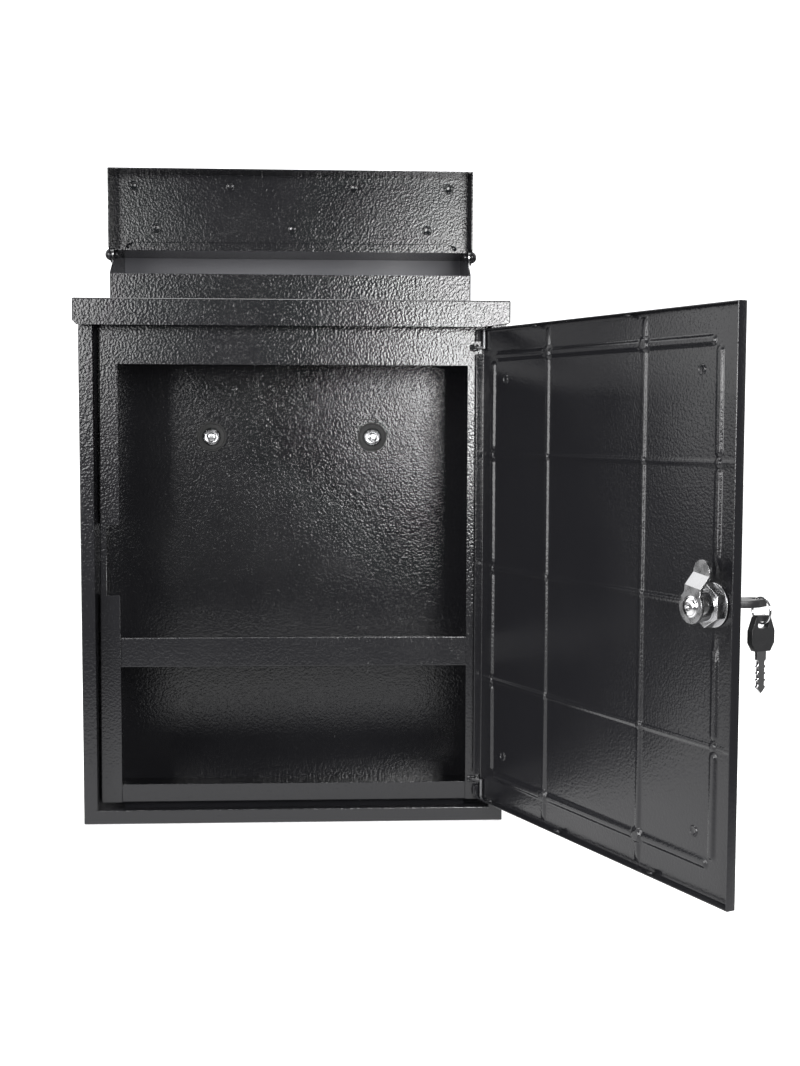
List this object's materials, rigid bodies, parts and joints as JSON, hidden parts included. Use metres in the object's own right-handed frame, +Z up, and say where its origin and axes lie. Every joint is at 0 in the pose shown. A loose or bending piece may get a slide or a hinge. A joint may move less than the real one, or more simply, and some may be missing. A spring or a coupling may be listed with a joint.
{
  "type": "wall mailbox",
  "caption": "Black steel wall mailbox: a hinged door with a cam lock, a key and a spare on a ring, and a raised posting slot under a hinged rain lid.",
  "frame": {"origin": "middle of the underside of the box", "axes": "+X to the right seen from the front, +Y back towards the wall, +Z up"},
  "size_m": [0.4392, 0.4185, 0.476],
  "materials": {
    "powder_coat": "glossy black orange-peel powder coat",
    "zinc": "bright zinc plate",
    "chrome": "polished nickel plate",
    "key_plastic": "moulded black plastic",
    "rubber": "matt black rubber"
  },
  "bodies": {
    "box": {"body_shell": "powder_coat", "floor_pan": "powder_coat", "inner_frame": "powder_coat", "frame_sill": "powder_coat", "crossbar": "powder_coat", "roof_cap": "powder_coat", "slot_collar": "powder_coat", "lid_pivot_left": "powder_coat", "lid_pivot_right": "powder_coat", "lid_washer_left": "zinc", "lid_washer_right": "zinc", "hinge_bracket_upper": "powder_coat", "hinge_bracket_lower": "powder_coat", "hinge_pin_upper": "zinc", "hinge_pin_lower": "zinc", "wall_bolt_left": "zinc", "wall_bolt_right": "zinc", "wall_washer_left": "rubber", "wall_washer_right": "rubber"},
    "lid": {"lid_panel": "powder_coat", "lid_rivets": "powder_coat"},
    "door": {"door_panel": "powder_coat", "door_rivets": "powder_coat", "lock_barrel": "chrome", "lock_washer": "zinc", "lock_nut": "zinc"},
    "lock": {"lock_plug": "chrome", "lock_cam": "zinc", "cam_screw": "zinc", "key_blade": "chrome", "key_bow": "key_plastic"},
    "ring": {"key_ring": "chrome"},
    "spare_key": {"spare_key_blade": "chrome", "spare_key_bow": "key_plastic"}
  },
  "joints": [
    {"name": "door_hinge", "type": "hinge", "parent": "box", "child": "door", "pos_m": [0.1378, -0.0645, 0.188], "axis": [0, 0, 1], "range_deg": [-114.5, 5.5]},
    {"name": "lid_hinge", "type": "hinge", "parent": "box", "child": "lid", "pos_m": [-0.0015, -0.0315, 0.4155], "axis": [1, 0, 0], "range_deg": [0, 110]},
    {"name": "lock_turn", "type": "hinge", "parent": "door", "child": "lock", "pos_m": [0.24702, -0.29694, 0.1887], "axis": [0.91, 0.4147, 0], "range_deg": [0, 82]},
    {"name": "ring_swing", "type": "hinge", "parent": "lock", "child": "ring", "pos_m": [0.27555, -0.2908, 0.1897], "axis": [-0.4147, 0.91, 0], "range_deg": [-12, 12]},
    {"name": "spare_key_swing", "type": "hinge", "parent": "ring", "child": "spare_key", "pos_m": [0.27555, -0.2908, 0.17693], "axis": [-0.4147, 0.91, 0], "range_deg": [-20, 20]}
  ]
}
